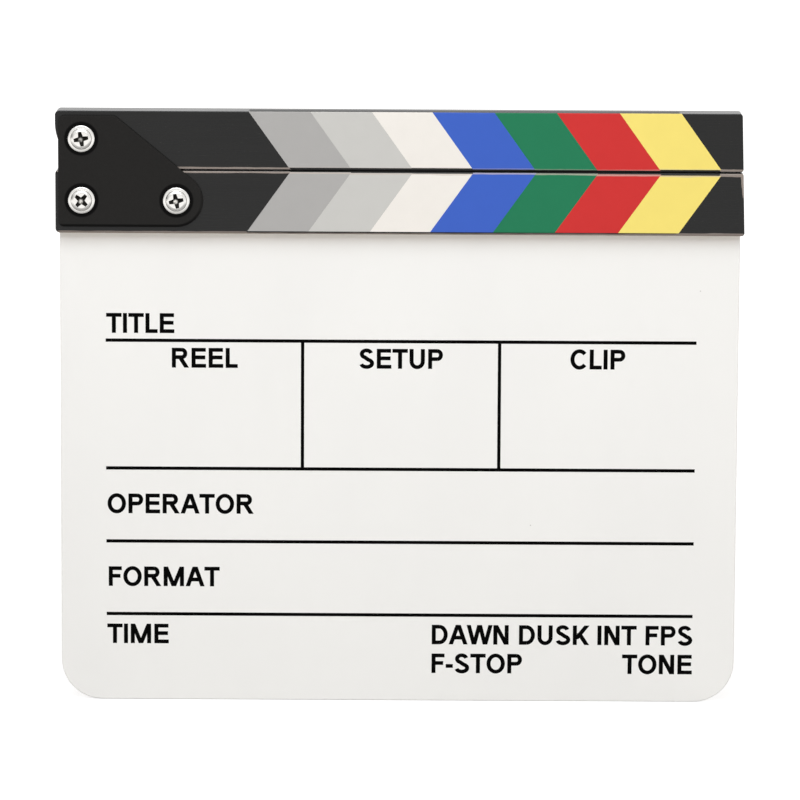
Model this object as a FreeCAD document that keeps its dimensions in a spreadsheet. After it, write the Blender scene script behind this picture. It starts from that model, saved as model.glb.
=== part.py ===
"""Clapperboard: a dry-erase slate held in a wooden stick, with a second stick hinged above it.

Millimetres and degrees. X runs to the right along the sticks, Z up the board, and the front faces -Y.
The origin is the middle of the board's bottom edge. The upper stick is modelled closed.
"""

import FreeCAD
import Part
import Sketcher
import enum
import math
import os

# Driving sizes, one cell each
SIZES = {
    # The two sticks
    "stick_length": 300.7,
    "upper_height": 25.5,
    "lower_height": 27.75,
    "stick_depth": 14.0,
    "upper_edge_round": 0.4,
    "lower_edge_round": 1.0,
    "stick_corner": 2.0,
    "free_corner": 1.3,
    "free_end_lean": 1.6,
    "heel_radius": 20.0,
    "closed_gap": 0.3,
    # Coloured stripes: where the first one meets its twin at the slit, and the slant down the lower stick
    "stripe_start": 102.25,
    "stripe_pitch": 26.9,
    "stripe_slant": 19.88,
    "stripe_seam": 0.1,
    "stripe_thickness": 0.15,
    # Slate board and the groove that holds its tongue
    "board_width": 297.6,
    "board_drop": 208.95,
    "board_thickness": 3.0,
    "board_corner": 18.0,
    "board_edge_break": 0.4,
    "tongue_above_screws": 4.6,
    "groove_fit": 0.1,
    # Hinge plates and pivot washers
    "pivot_inset": 11.55,
    "screw_lift": 0.7,
    "plate_screw_spacing": 41.3,
    "plate_thickness": 1.2,
    "plate_margin": 2.95,
    "plate_top_margin": 2.0,
    "plate_end_margin": 1.4,
    "plate_top_run": 14.6,
    "plate_corner": 2.5,
    "plate_edge_round": 0.3,
    "washer_diameter": 14.0,
    "washer_thickness": 0.3,
    "washer_play": 0.05,
    # Binding posts and the screws that close them
    "post_diameter": 6.0,
    "post_fit": 0.05,
    "post_shortfall": 0.4,
    "thread_diameter": 4.0,
    "thread_length": 10.0,
    "thread_tip_room": 1.0,
    "head_diameter": 11.8,
    "head_rim": 0.9,
    "head_rim_round": 0.4,
    "cap_diameter": 9.4,
    "cap_rise": 1.3,
    "cap_round": 0.9,
    "recess_span": 6.4,
    "recess_width": 1.5,
    "recess_depth": 1.5,
    "slot_width": 1.4,
    "slot_depth": 0.9,
    # Countersunk screws that hold the tongue in the groove
    "board_screw_inset": 10.2,
    "board_screw_diameter": 3.0,
    "board_screw_head": 5.8,
    "board_screw_length": 10.5,
    "board_screw_tip": 2.0,
    "board_screw_fit": 0.05,
    "board_screw_recess_span": 3.2,
    "board_screw_recess_width": 0.8,
    "board_screw_recess_depth": 0.9,
    # Closing magnets near the free ends
    "magnet_diameter": 8.0,
    "magnet_height": 3.0,
    "magnet_inset": 12.0,
    "magnet_fit": 0.05,
}

# Sizes that follow from the driving ones
FORMULAS = {
    "half_length": "stick_length / 2",
    "half_depth": "stick_depth / 2",
    "free_slit_x": "half_length - free_end_lean * lower_height / (lower_height + upper_height)",
    "free_top_x": "half_length - free_end_lean",
    "screw_rise": "lower_height / 2 + screw_lift",
    "pivot_rise": "upper_height / 2 + screw_lift",
    "upper_z": "board_drop + lower_height + closed_gap",
    "upper_depth": "stick_depth - 2 * (washer_thickness + washer_play)",
    "heel_fillet": "min(heel_radius; upper_height - stick_corner - upper_edge_round)",
    "pivot_x": "pivot_inset - half_length",
    "right_screw_x": "pivot_x + plate_screw_spacing",
    "lower_screw_z": "board_drop + screw_rise",
    "pivot_z": "upper_z + pivot_rise",
    "tongue_depth": "screw_rise + tongue_above_screws",
    "board_height": "board_drop + tongue_depth",
    "groove_width": "board_thickness + 2 * groove_fit",
    "plate_face": "half_depth + plate_thickness",
    "plate_end_round": "screw_rise - plate_margin",
    "plate_left": "plate_end_margin - pivot_inset",
    "plate_pivot_rise": "pivot_z - lower_screw_z",
    "plate_top": "plate_pivot_rise + upper_height - pivot_rise - plate_top_margin",
    "post_bore": "post_diameter + 2 * post_fit",
    "post_length": "2 * plate_face - post_shortfall",
    "thread_bore": "thread_diameter + 2 * post_fit",
    "thread_bore_depth": "thread_length - post_shortfall + thread_tip_room",
    "head_height": "head_rim + cap_rise",
    "rim_fillet": "min(head_rim_round; head_rim / 2; (head_diameter - cap_diameter) / 4)",
    "board_screw_last_x": "min(half_length; board_width / 2) - board_screw_inset",
    "board_screw_hole": "board_screw_diameter + 2 * board_screw_fit",
    "board_screw_sink": "board_screw_head + 2 * board_screw_fit",
    "board_screw_depth": "board_screw_length + board_screw_fit",
    "magnet_x": "half_length - magnet_inset",
    "magnet_hole": "magnet_diameter + 2 * magnet_fit",
    "stripe_width": "stripe_pitch - stripe_seam",
    "stripe_slope": "stripe_slant / lower_height",
    "stripe_slit_x": "stripe_start - half_length",
}

STRIPE_COLOURS = ("grey", "pale_grey", "white", "blue", "green", "red", "yellow")
BOARD_SCREWS = 3
COUNTERSINK_ANGLE = 90.0

# How far each cross recess is turned from upright, anticlockwise seen from the front
SCREW_TURNS = {"pivot_screw": 11.0, "left_plate_screw": 49.0, "right_plate_screw": 12.0}

# First guess at the angles where the plate's round end starts and stops, before the tangents are solved
ROUND_END_GUESS = (math.radians(-90.0), math.radians(49.0))

LEVEL = 1e-4
FRONT = FreeCAD.Vector(0, -1, 0)
UP = FreeCAD.Vector(0, 0, 1)
HALF_TURN = 180.0
FULL_TURN = 360.0


class Axis(enum.IntEnum):
    """How a sketch numbers its own axes."""

    ACROSS = -1
    UPWARD = -2


class Point(enum.IntEnum):
    """How a sketch numbers the points of a line, circle or arc; the origin is the start of an axis."""

    START = 1
    END = 2
    CENTRE = 3


doc = FreeCAD.newDocument("clapperboard")
sheet = doc.addObject("Spreadsheet::Sheet", "dim")
bodies = []


def fill_sheet():
    rows = [(name, str(size)) for name, size in SIZES.items()]
    rows += [(name, "=" + formula) for name, formula in FORMULAS.items()]
    for row, (name, content) in enumerate(rows, 1):
        sheet.set(f"A{row}", name)
        sheet.set(f"B{row}", content)
        sheet.setAlias(f"B{row}", name)
    doc.recompute()


def value(text):
    return float(sheet.evalExpression(text))


def new_body(label, x="0", y="0", z="0", turn=None):
    """A body placed by expressions; turn is an axis and an angle about it."""
    body = doc.addObject("PartDesign::Body", label)
    body.Label = label
    if turn:
        body.Placement.Rotation = FreeCAD.Rotation(*turn)
    for axis, place in zip("xyz", (x, y, z)):
        body.setExpression(f"Placement.Base.{axis}", place)
    bodies.append(body)
    return body


def new_sketch(body, plane, rise="0"):
    """A sketch on one of the body's own planes, rise along that plane's normal (XZ faces -Y)."""
    sketch = body.newObject("Sketcher::SketchObject", body.Name + "_sketch")
    support = next(item for item in body.Origin.OriginFeatures if item.Role == plane + "_Plane")
    sketch.AttachmentSupport = [(support, "")]
    sketch.MapMode = "FlatFace"
    sketch.setExpression("AttachmentOffset.Base.z", rise)
    return sketch


def bind(sketch, kind, *where, text):
    number = sketch.addConstraint(Sketcher.Constraint(kind, *where, value(text)))
    sketch.setExpression(f"Constraints[{number}]", text)


def pin(sketch, item, end, x, y):
    """Fixes one point of a sketch item at a place given by two expressions."""
    for kind, text, axis in (("DistanceX", x, Axis.UPWARD), ("DistanceY", y, Axis.ACROSS)):
        if text == "0":
            sketch.addConstraint(Sketcher.Constraint("PointOnObject", item, end, axis))
        else:
            bind(sketch, kind, Axis.ACROSS, Point.START, item, end, text=text)


def polygon(sketch, places):
    first = sketch.GeometryCount
    corners = [FreeCAD.Vector(value(x), value(y), 0) for x, y in places]
    for here, there in zip(corners, corners[1:] + corners[:1]):
        sketch.addGeometry(Part.LineSegment(here, there), False)
    for number, place in enumerate(places):
        after = first + (number + 1) % len(places)
        sketch.addConstraint(Sketcher.Constraint("Coincident", first + number, Point.END, after, Point.START))
        pin(sketch, first + number, Point.START, *place)


def rectangle(sketch, left, right, bottom, top):
    polygon(sketch, [(left, bottom), (right, bottom), (right, top), (left, top)])


def circle(sketch, x, y, diameter):
    centre = FreeCAD.Vector(value(x), value(y), 0)
    item = sketch.addGeometry(Part.Circle(centre, UP, value(diameter) / 2), False)
    pin(sketch, item, Point.CENTRE, x, y)
    bind(sketch, "Diameter", item, text=diameter)


def cross(sketch, span, width):
    """A plus sign about the sketch's origin."""
    far = f"{span} / 2"
    near = f"{width} / 2"
    quarter = [(far, near), (near, near), (near, far)]
    places = []
    for _ in range(4):
        places += quarter
        quarter = [(f"-({y})", x) for x, y in quarter]
    polygon(sketch, places)


def add_feature(body, kind, profile=None):
    feature = body.newObject("PartDesign::" + kind, f"{body.Name}_{kind.lower()}")
    if profile:
        feature.Profile = profile
    body.Tip = feature
    return feature


def pad(body, sketch, length, both_ways=False):
    feature = add_feature(body, "Pad", sketch)
    feature.SideType = "Symmetric" if both_ways else "One side"
    feature.setExpression("Length", length)
    doc.recompute()


def revolve(body, sketch):
    feature = add_feature(body, "Revolution", sketch)
    feature.ReferenceAxis = (sketch, ["V_Axis"])
    feature.Angle = FULL_TURN
    doc.recompute()


def require_cut(body, feature, before):
    doc.recompute()
    if not feature.Shape.Volume < before - LEVEL:
        raise RuntimeError(f"{feature.Name} of {body.Label} cuts nothing")


def pocket(body, sketch, depth, away=False):
    """Cuts depth deep against the sketch's normal, or along it where away is true."""
    before = body.Tip.Shape.Volume
    feature = add_feature(body, "Pocket", sketch)
    feature.setExpression("Length", depth)
    feature.Reversed = away
    require_cut(body, feature, before)


def countersunk_hole(body, sketch, diameter, depth, mouth):
    before = body.Tip.Shape.Volume
    doc.recompute()
    feature = add_feature(body, "Hole", sketch)
    feature.ThreadType = "None"
    feature.HoleCutType = "Countersink"
    feature.HoleCutCustomValues = True
    feature.HoleCutCountersinkAngle = COUNTERSINK_ANGLE
    feature.DepthType = "Dimension"
    feature.DrillPoint = "Flat"
    feature.Reversed = True
    feature.setExpression("Diameter", diameter)
    feature.setExpression("Depth", depth)
    feature.setExpression("HoleCutDiameter", mouth)
    require_cut(body, feature, before)


def edges_on(body, **planes):
    """Names of the open edges that lie wholly in every plane given, such as y='dim.half_depth'."""
    levels = {axis: value(text) for axis, text in planes.items()}
    names = []
    for number, edge in enumerate(body.Tip.Shape.Edges, 1):
        box = edge.BoundBox
        spans = {"x": (box.XMin, box.XMax), "y": (box.YMin, box.YMax), "z": (box.ZMin, box.ZMax)}
        flat = all(abs(end - levels[axis]) < LEVEL for axis in levels for end in spans[axis])
        if flat and not edge.isClosed():
            names.append(f"Edge{number}")
    return names


def rings_at(body, y, diameter):
    """Names of the whole circles of one diameter about the body's Y axis, at one height along it."""
    names = []
    for number, edge in enumerate(body.Tip.Shape.Edges, 1):
        if not (edge.isClosed() and isinstance(edge.Curve, Part.Circle)):
            continue
        off_height = abs(edge.Curve.Center.y - value(y))
        off_size = abs(2 * edge.Curve.Radius - value(diameter))
        if max(off_height, off_size) < LEVEL:
            names.append(f"Edge{number}")
    return names


def round_edges(body, names, radius):
    base = body.Tip
    feature = add_feature(body, "Fillet")
    feature.Base = (base, names)
    feature.setExpression("Radius", radius)
    doc.recompute()


def break_edges(body, names, size):
    base = body.Tip
    feature = add_feature(body, "Chamfer")
    feature.Base = (base, names)
    feature.setExpression("Size", size)
    doc.recompute()


def both_faces(body, half_depth):
    return edges_on(body, y=half_depth) + edges_on(body, y=f"-({half_depth})")


def board_screw_x(number):
    """Screws share the length between the right plate screw and the last of them, near the free end."""
    return f"dim.right_screw_x + (dim.board_screw_last_x - dim.right_screw_x) * {number} / {BOARD_SCREWS}"


def make_slate_board():
    body = new_body("slate_board")
    sketch = new_sketch(body, "XZ")
    rectangle(sketch, "-dim.board_width / 2", "dim.board_width / 2", "0", "dim.board_height")
    pad(body, sketch, "dim.board_thickness", both_ways=True)
    corners = edges_on(body, x="dim.board_width / 2", z="0")
    corners += edges_on(body, x="-dim.board_width / 2", z="0")
    round_edges(body, corners, "dim.board_corner")
    break_edges(body, both_faces(body, "dim.board_thickness / 2"), "dim.board_edge_break")
    holes = new_sketch(body, "XZ", "dim.board_thickness / 2")
    for x in ("dim.pivot_x", "dim.right_screw_x"):
        circle(holes, x, "dim.lower_screw_z", "dim.post_bore")
    for number in range(1, BOARD_SCREWS + 1):
        circle(holes, board_screw_x(number), "dim.lower_screw_z", "dim.board_screw_hole")
    pocket(body, holes, "dim.board_thickness")


def stick_blank(body, height, depth, free_low, free_high, holes):
    """A sharp-cornered stick standing on its body's origin, with post holes from front to back.

    Its free end, on the right, runs from one X at the foot to another at the head.
    """
    sketch = new_sketch(body, "XZ")
    left = "-dim.half_length"
    polygon(sketch, [(left, "0"), (free_low, "0"), (free_high, height), (left, height)])
    for x, z in holes:
        circle(sketch, x, z, "dim.post_bore")
    pad(body, sketch, depth, both_ways=True)


def magnet_pocket(body, rise, away):
    sketch = new_sketch(body, "XY", rise)
    circle(sketch, "dim.magnet_x", "0", "dim.magnet_hole")
    pocket(body, sketch, "dim.magnet_height", away)


def make_lower_stick():
    body = new_body("lower_stick", z="dim.board_drop")
    holes = [(x, "dim.screw_rise") for x in ("dim.pivot_x", "dim.right_screw_x")]
    stick_blank(body, "dim.lower_height", "dim.stick_depth", "dim.half_length", "dim.free_slit_x", holes)
    corners = edges_on(body, x="-dim.half_length", z="0")
    corners += edges_on(body, x="-dim.half_length", z="dim.lower_height")
    round_edges(body, corners, "dim.stick_corner")
    corners = edges_on(body, x="dim.half_length", z="0")
    corners += edges_on(body, x="dim.free_slit_x", z="dim.lower_height")
    round_edges(body, corners, "dim.free_corner")
    round_edges(body, both_faces(body, "dim.half_depth"), "dim.lower_edge_round")
    groove = new_sketch(body, "XY")
    half_groove = "dim.groove_width / 2"
    rectangle(groove, "-dim.stick_length", "dim.stick_length", f"-{half_groove}", half_groove)
    pocket(body, groove, "dim.tongue_depth", away=True)
    screws = new_sketch(body, "XZ", "-dim.half_depth")
    for number in range(1, BOARD_SCREWS + 1):
        circle(screws, board_screw_x(number), "dim.screw_rise", "dim.board_screw_hole")
    countersunk_hole(body, screws, "dim.board_screw_hole", "dim.board_screw_depth", "dim.board_screw_sink")
    magnet_pocket(body, "dim.lower_height", away=False)


def make_upper_stick():
    body = new_body("upper_stick", z="dim.upper_z")
    holes = [("dim.pivot_x", "dim.pivot_rise")]
    stick_blank(body, "dim.upper_height", "dim.upper_depth", "dim.free_slit_x", "dim.free_top_x", holes)
    round_edges(body, edges_on(body, x="-dim.half_length", z="0"), "dim.heel_fillet")
    round_edges(body, edges_on(body, x="-dim.half_length", z="dim.upper_height"), "dim.stick_corner")
    corners = edges_on(body, x="dim.free_slit_x", z="0")
    corners += edges_on(body, x="dim.free_top_x", z="dim.upper_height")
    round_edges(body, corners, "dim.free_corner")
    round_edges(body, both_faces(body, "dim.upper_depth / 2"), "dim.upper_edge_round")
    magnet_pocket(body, "0", away=True)


def make_stripe(label, foot, stick_height, face, edge_round, colour_number, slit_above):
    """One slanted strip of vinyl, furthest right where it ends next to the slit between the sticks."""
    start = f"dim.stripe_slit_x - dim.stripe_slope * {edge_round} + dim.stripe_seam / 2"
    x = f"{start} + dim.stripe_pitch * {colour_number}"
    body = new_body(label, x, f"-({face})", f"{foot} + {edge_round}")
    height = f"{stick_height} - 2 * {edge_round}"
    lean = f"-dim.stripe_slope * ({height})"
    low, high = (lean, "0") if slit_above else ("0", lean)
    sketch = new_sketch(body, "XZ")
    polygon(
        sketch,
        [
            (low, "0"),
            (f"{low} + dim.stripe_width", "0"),
            (f"{high} + dim.stripe_width", height),
            (high, height),
        ],
    )
    pad(body, sketch, "dim.stripe_thickness")


def make_stripes():
    lower = ("dim.board_drop", "dim.lower_height", "dim.half_depth", "dim.lower_edge_round")
    upper = ("dim.upper_z", "dim.upper_height", "dim.upper_depth / 2", "dim.upper_edge_round")
    for number, colour in enumerate(STRIPE_COLOURS):
        make_stripe(f"lower_stripe_{colour}", *lower, number, slit_above=True)
        make_stripe(f"upper_stripe_{colour}", *upper, number, slit_above=False)


def plate_outline(sketch):
    """Upright left edge, flat top, a slope that runs into a round end about the right screw."""
    left = value("dim.plate_left")
    low = -value("dim.plate_end_round")
    top = value("dim.plate_top")
    run = value("dim.plate_top_run")
    centre = FreeCAD.Vector(value("dim.plate_screw_spacing"), 0, 0)
    end = Part.ArcOfCircle(Part.Circle(centre, UP, -low), *ROUND_END_GUESS)
    corners = [
        FreeCAD.Vector(centre.x, low, 0),
        FreeCAD.Vector(left, low, 0),
        FreeCAD.Vector(left, top, 0),
        FreeCAD.Vector(run, top, 0),
        end.EndPoint,
    ]
    bottom, upright, flat, slope = [
        sketch.addGeometry(Part.LineSegment(here, there), False) for here, there in zip(corners, corners[1:])
    ]
    arc = sketch.addGeometry(end, False)
    for here, there in ((bottom, upright), (upright, flat), (flat, slope)):
        sketch.addConstraint(Sketcher.Constraint("Coincident", here, Point.END, there, Point.START))
    sketch.addConstraint(Sketcher.Constraint("Tangent", slope, Point.END, arc, Point.END))
    sketch.addConstraint(Sketcher.Constraint("Tangent", arc, Point.START, bottom, Point.START))
    sketch.addConstraint(Sketcher.Constraint("Horizontal", bottom))
    pin(sketch, arc, Point.CENTRE, "dim.plate_screw_spacing", "0")
    pin(sketch, bottom, Point.END, "dim.plate_left", "-dim.plate_end_round")
    pin(sketch, upright, Point.END, "dim.plate_left", "dim.plate_top")
    pin(sketch, flat, Point.END, "dim.plate_top_run", "dim.plate_top")


def make_hinge_plate(label, y, outer_face):
    """A plate whose origin is the left lower screw, with its outer edge rounded."""
    body = new_body(label, "dim.pivot_x", y, "dim.lower_screw_z")
    sketch = new_sketch(body, "XZ")
    plate_outline(sketch)
    for x, z in (("0", "0"), ("dim.plate_screw_spacing", "0"), ("0", "dim.plate_pivot_rise")):
        circle(sketch, x, z, "dim.post_bore")
    pad(body, sketch, "dim.plate_thickness")
    corners = edges_on(body, x="dim.plate_left", z="-dim.plate_end_round")
    corners += edges_on(body, x="dim.plate_left", z="dim.plate_top")
    corners += edges_on(body, x="dim.plate_top_run", z="dim.plate_top")
    round_edges(body, corners, "dim.plate_corner")
    round_edges(body, edges_on(body, y=outer_face), "dim.plate_edge_round")


def make_washer(label, y):
    body = new_body(label, "dim.pivot_x", y, "dim.pivot_z")
    sketch = new_sketch(body, "XZ")
    circle(sketch, "0", "0", "dim.washer_diameter")
    circle(sketch, "0", "0", "dim.post_bore")
    pad(body, sketch, "dim.washer_thickness")


def headed_shape(body, shank):
    """A rimmed cap on the front of the body's origin, with the shank's outline behind it."""
    sketch = new_sketch(body, "XY")
    head = [
        ("0", "-dim.head_height"),
        ("dim.cap_diameter / 2", "-dim.head_height"),
        ("dim.cap_diameter / 2", "-dim.head_rim"),
        ("dim.head_diameter / 2", "-dim.head_rim"),
        ("dim.head_diameter / 2", "0"),
    ]
    polygon(sketch, head + shank)
    revolve(body, sketch)
    round_edges(body, rings_at(body, "-dim.head_height", "dim.cap_diameter"), "dim.cap_round")
    round_edges(body, rings_at(body, "-dim.head_rim", "dim.head_diameter"), "dim.rim_fillet")


def make_plate_screw(label, x, z):
    body = new_body(label, x, "-dim.plate_face", z, turn=(FRONT, SCREW_TURNS[label]))
    shank = [
        ("dim.thread_diameter / 2", "0"),
        ("dim.thread_diameter / 2", "dim.thread_length"),
        ("0", "dim.thread_length"),
    ]
    headed_shape(body, shank)
    recess = new_sketch(body, "XZ", "dim.head_height")
    cross(recess, "dim.recess_span", "dim.recess_width")
    pocket(body, recess, "dim.recess_depth")


def make_post(label, x, z):
    """The barrel that a plate screw closes, put in from behind, with a slotted head."""
    body = new_body(label, x, "dim.plate_face", z, turn=(UP, HALF_TURN))
    floor = "dim.post_length - dim.thread_bore_depth"
    barrel = [
        ("dim.post_diameter / 2", "0"),
        ("dim.post_diameter / 2", "dim.post_length"),
        ("dim.thread_bore / 2", "dim.post_length"),
        ("dim.thread_bore / 2", floor),
        ("0", floor),
    ]
    headed_shape(body, barrel)
    slot = new_sketch(body, "XZ", "dim.head_height")
    half_span = "dim.cap_diameter / 2"
    half_width = "dim.slot_width / 2"
    rectangle(slot, f"-{half_span}", half_span, f"-{half_width}", half_width)
    pocket(body, slot, "dim.slot_depth")


def make_board_screw(number):
    body = new_body(
        f"board_screw_{number}",
        board_screw_x(number),
        "dim.half_depth",
        "dim.lower_screw_z",
        turn=(UP, HALF_TURN),
    )
    sketch = new_sketch(body, "XY")
    places = [
        ("0", "0"),
        ("dim.board_screw_head / 2", "0"),
        ("dim.board_screw_diameter / 2", "(dim.board_screw_head - dim.board_screw_diameter) / 2"),
        ("dim.board_screw_diameter / 2", "dim.board_screw_length - dim.board_screw_tip"),
        ("0", "dim.board_screw_length"),
    ]
    polygon(sketch, places)
    revolve(body, sketch)
    recess = new_sketch(body, "XZ")
    cross(recess, "dim.board_screw_recess_span", "dim.board_screw_recess_width")
    pocket(body, recess, "dim.board_screw_recess_depth")


def make_magnet(label, z):
    body = new_body(label, "dim.magnet_x", "0", z)
    sketch = new_sketch(body, "XY")
    circle(sketch, "0", "0", "dim.magnet_diameter")
    pad(body, sketch, "dim.magnet_height")


def make_hinge():
    make_hinge_plate("front_hinge_plate", "-dim.half_depth", "-dim.plate_thickness")
    make_hinge_plate("rear_hinge_plate", "dim.plate_face", "0")
    make_washer("front_pivot_washer", "dim.washer_thickness - dim.half_depth")
    make_washer("rear_pivot_washer", "dim.half_depth")
    places = {
        "pivot": ("dim.pivot_x", "dim.pivot_z"),
        "left_plate": ("dim.pivot_x", "dim.lower_screw_z"),
        "right_plate": ("dim.right_screw_x", "dim.lower_screw_z"),
    }
    for name, (x, z) in places.items():
        make_plate_screw(name + "_screw", x, z)
        make_post(name + "_post", x, z)


def check_and_write():
    doc.recompute()
    for item in doc.Objects:
        if "Invalid" in item.State or "Error" in item.State:
            raise RuntimeError(f"{item.Label} failed: {item.State}")
    for body in bodies:
        if body.Shape.isNull() or not body.Shape.isValid() or len(body.Shape.Solids) != 1:
            raise RuntimeError(f"{body.Label} isn't one valid solid")
    os.makedirs("parts", exist_ok=True)
    for body in bodies:
        body.Shape.exportStep(f"parts/{body.Label}.step")


fill_sheet()
make_slate_board()
make_lower_stick()
make_upper_stick()
make_stripes()
make_hinge()
for screw_number in range(1, BOARD_SCREWS + 1):
    make_board_screw(screw_number)
make_magnet("lower_magnet", "dim.upper_z - dim.closed_gap - dim.magnet_height")
make_magnet("upper_magnet", "dim.upper_z")
check_and_write()
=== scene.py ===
"""Looks of the clapperboard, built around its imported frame.

Metres, in the frame's own axes: X to the right along the sticks, Z up the board, and the front faces -Y.
"""

import bpy
import math
from mathutils import Matrix, Vector
from mathutils.geometry import delaunay_2d_cdt
from typing import NamedTuple


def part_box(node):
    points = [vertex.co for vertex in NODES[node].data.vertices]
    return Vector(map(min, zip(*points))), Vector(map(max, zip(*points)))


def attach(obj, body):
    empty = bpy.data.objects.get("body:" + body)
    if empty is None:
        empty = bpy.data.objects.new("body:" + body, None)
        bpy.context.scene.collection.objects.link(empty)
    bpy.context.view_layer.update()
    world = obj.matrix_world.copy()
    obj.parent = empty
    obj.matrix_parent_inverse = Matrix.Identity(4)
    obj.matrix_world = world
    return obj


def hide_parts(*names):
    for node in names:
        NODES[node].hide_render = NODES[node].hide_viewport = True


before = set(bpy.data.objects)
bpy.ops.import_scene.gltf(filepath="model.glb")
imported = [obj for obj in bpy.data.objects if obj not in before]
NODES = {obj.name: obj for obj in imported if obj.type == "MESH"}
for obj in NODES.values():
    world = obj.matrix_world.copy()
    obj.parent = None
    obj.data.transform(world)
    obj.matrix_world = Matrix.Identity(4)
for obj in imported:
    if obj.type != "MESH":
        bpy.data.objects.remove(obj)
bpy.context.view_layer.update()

MM = 0.001
WHITE = (1.0, 1.0, 1.0)
UNMOVED = Matrix.Identity(4)

# Bends that are sharper than this are shaded as edges
SHARP_ANGLE = math.radians(35.0)

# Most of a noise is between these two values
NOISE_RANGE = (0.3, 0.7)

# Camera, solved from the photo: where it looks, from how far, how high and with what roll; then its focal
# length and the picture's width in pixels, and its sensor's width in mm
CAMERA_TARGET = Vector((0.36, 0.0, 134.76)) * MM
CAMERA_DISTANCE = 2298.7 * MM
CAMERA_RISE = math.radians(9.264)
CAMERA_ROLL = math.radians(0.303)
FOCAL_PIXELS = 5227.5
IMAGE_PIXELS = 800.0
SENSOR = 36.0

# Square soft boxes: name, place, size, power and colour
LIGHTS = [
    ("key", (-0.12, -1.04, 1.24), 1.1, 13.8, (0.97, 1.0, 1.03)),
    ("back", (1.15, 1.0, 0.75), 1.0, 7.0, WHITE),
]

# The room: its warm fill, and its dark side in reflections: which way is away from it, where along that
# way it begins and is full, and how bright it is, where the rest of the room is 1
FILL_COLOUR = (1.0, 0.96, 0.92)
FILL_STRENGTH = 0.625
BRIGHT_WAY = (1.0, 0.0, 0.8)
DARK_LIMITS = (-0.25, -0.75)
DARK_SIDE = 0.4

# The floor: half its width, its grey for the light and for the eye, its glow near the object for the eye
# and in reflections, and the distances between which that goes to plain white
FLOOR_HALF = 12.0
FLOOR_GREYS = [(0.74, 0.74, 0.74), (0.40, 0.40, 0.40)]
FLOOR_GLOW = 0.69
FLOOR_MIRRORED_GLOW = 0.10
FLOOR_FADE = (0.25, 1.2)

# Two old marker dots on the slate, as X and Z
SPECKS = [(58.2 * MM, 79.3 * MM), (131.7 * MM, 184.0 * MM)]
SPECK_RADIUS = 0.35 * MM
SPECK_DARKNESS = 0.6

# The sticks: the body that each is on, their rounded edges, and the lean of their free ends
STICK_BODIES = {"upper": "clap_stick", "lower": "slate"}
EDGE_ROUNDS = {"upper": 0.4 * MM, "lower": 1.0 * MM}
FREE_END_SLOPE = 0.03

# Their paint: how far behind the front and inside the outer stripes it goes between dull and polished, and
# how much smoother it is where it is polished
POLISH_DEPTHS = (6 * MM, 11 * MM)
POLISH_MARGIN = 1 * MM
POLISH_GAIN = 0.22

# The wood under the paint, dark to light, where it is rubbed and where it is raw; how late along an edge
# the rub grows, by what share its reach is ragged, how softly it ends, by what share the limit of the kept
# paint is soft, and at what heights the paint begins over the lower stick's raw foot
RUBBED_WOOD = [(0.25, 0.20, 0.17), (0.40, 0.345, 0.31)]
RAW_WOOD = [(0.38, 0.25, 0.14), (0.47, 0.33, 0.19)]
RUB_GROWTH = 3.0
RUB_RAGGED = 0.12
RUB_BLUR = (-0.1 * MM, 0.15 * MM)
KEPT_BLUR = 0.3
RAW_FOOT = (0.05 * MM, 0.12 * MM)

# The coloured films on the sticks: what they leave bare at the upper stick's head and at the lower one's
# foot, how far past their stripes they go at each side, in how many steps they bend, and how wide and how
# strongly they are lighter next to the slit, partly chafe and partly a painted highlight on the edge facing
# the light
FILM_THICKNESS = 0.15 * MM
FILM_HEAD = 0.1 * MM
FILM_FOOT = 1.25 * MM
FILM_SPREAD = 0.04 * MM
FILM_STEPS = 6
CHAFE_AND_HIGHLIGHT_WIDTH = 0.7 * MM
CHAFE_AND_HIGHLIGHT_STRENGTHS = {"upper": 0.25, "lower": 0.55}
CHAFE_AND_HIGHLIGHT_VINYL = (0.55, 0.48, 0.42)

# Their uneven cuts in mm: how far each slanted cut is off an even spacing, and how much each film leaves
# bare next to the slit
FILM_SHIFTS = {
    "upper": (0.3, 0.2, 0.1, -0.5, -0.4, -0.2, 0.3, 0.2),
    "lower": (0.5, 0.2, 0.1, -0.5, 0.0, 0.1, 0.8, 0.3),
}
FILM_SLITS = {
    "upper": (1.1, 1.1, 1.2, 0.8, 0.7, 0.6, 1.0),
    "lower": (0.6, 0.8, 0.9, 0.5, 0.6, 0.8, 1.2),
}
FILM_COLOURS = {
    "grey": (0.410, 0.402, 0.392),
    "pale_grey": (0.571, 0.564, 0.539),
    "white": (0.845, 0.809, 0.758),
    "blue": (0.040, 0.114, 0.526),
    "green": (0.007, 0.181, 0.078),
    "red": (0.597, 0.025, 0.024),
    "yellow": (0.894, 0.732, 0.179),
}

# Screw heads: how many degrees each cross recess is turned and how bright its painted highlight is; the
# shape of rim, cap and recess; and where and how far around the painted highlight in the recess reaches
SCREWS = {"pivot_screw": (11.0, 0.42), "left_plate_screw": (49.0, 0.75), "right_plate_screw": (12.0, 0.85)}
HEAD_RIM = 0.9 * MM
HEAD_RIM_DROP = 0.06 * MM
HEAD_RIM_ROUND = 0.5 * MM
CAP_RADIUS = 4.7 * MM
CAP_SHOULDER = 1.7 * MM
CAP_RISE = 1.2 * MM
THREAD_RADIUS = 2.0 * MM
RECESS_SPAN = 6.4 * MM
RECESS_TIP = 1.4 * MM
RECESS_WEB = 2.1 * MM
RECESS_DEPTH = 1.9 * MM
RECESS_ABOVE = 0.3 * RECESS_DEPTH
RECESS_TAPER = 0.45
RECESS_SPOT = Vector((-0.35, -0.5)) * MM
RECESS_HIGHLIGHT = (0.5 * MM, 1.3 * MM)
LATHE_SEGMENTS = 72
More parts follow.
